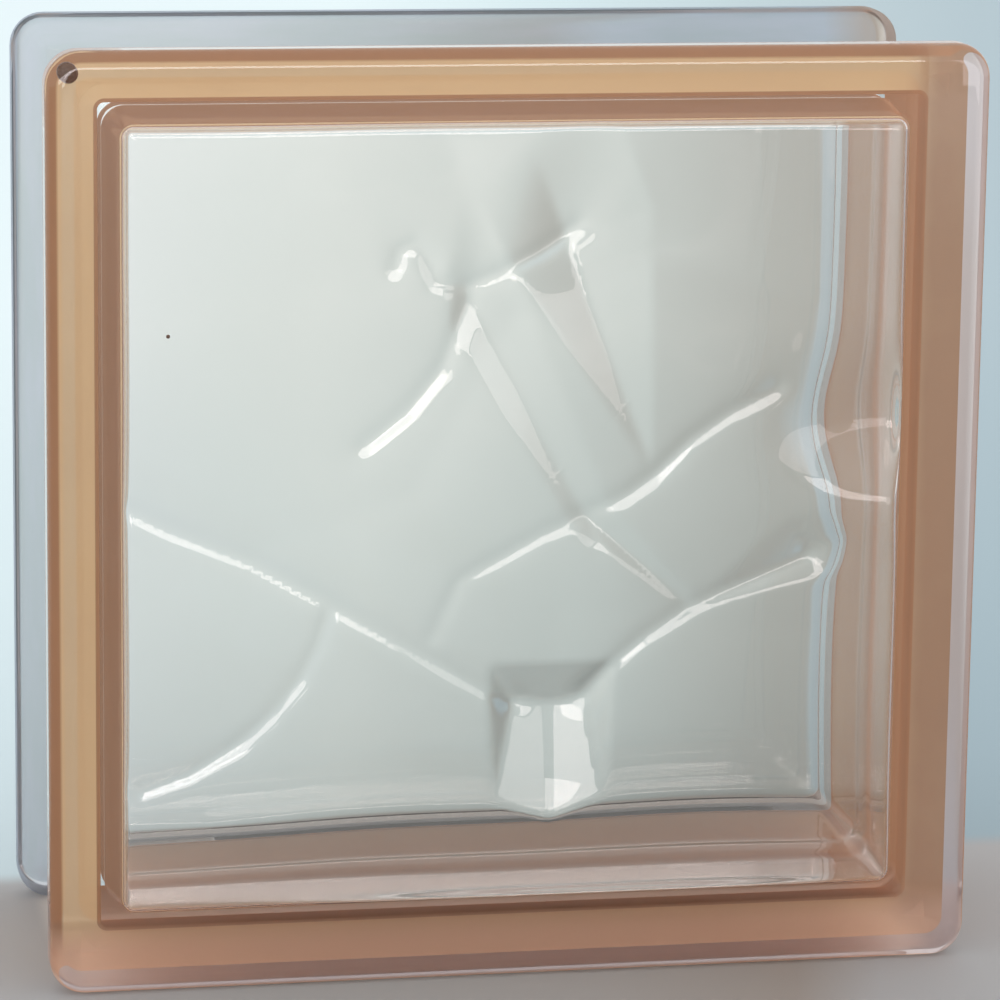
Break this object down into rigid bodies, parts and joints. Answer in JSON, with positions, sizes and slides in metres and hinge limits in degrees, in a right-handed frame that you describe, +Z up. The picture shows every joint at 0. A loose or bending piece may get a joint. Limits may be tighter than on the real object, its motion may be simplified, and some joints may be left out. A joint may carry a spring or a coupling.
{
  "type": "glass block",
  "caption": "Square hollow glass wall block with a wave relief inside its panes and a coated mortar channel round its sides.",
  "frame": {"origin": "centre of the footprint at the level of the two flange edges that the block stands on", "axes": "+X to the right seen from the front, +Y to the rear through the block's thickness, +Z up; the front face looks to -Y"},
  "size_m": [0.19, 0.08, 0.19],
  "materials": {
    "front_glass": "smooth pressed glass, clear with a faint green tint; its mortar channel has a salmon-bronze coating",
    "back_glass": "smooth pressed glass, clear with a faint green tint; its channel floor has a thin salmon-bronze coating"
  },
  "bodies": {
    "root": {"front_shell": "front_glass", "back_shell": "back_glass"}
  },
  "joints": []
}
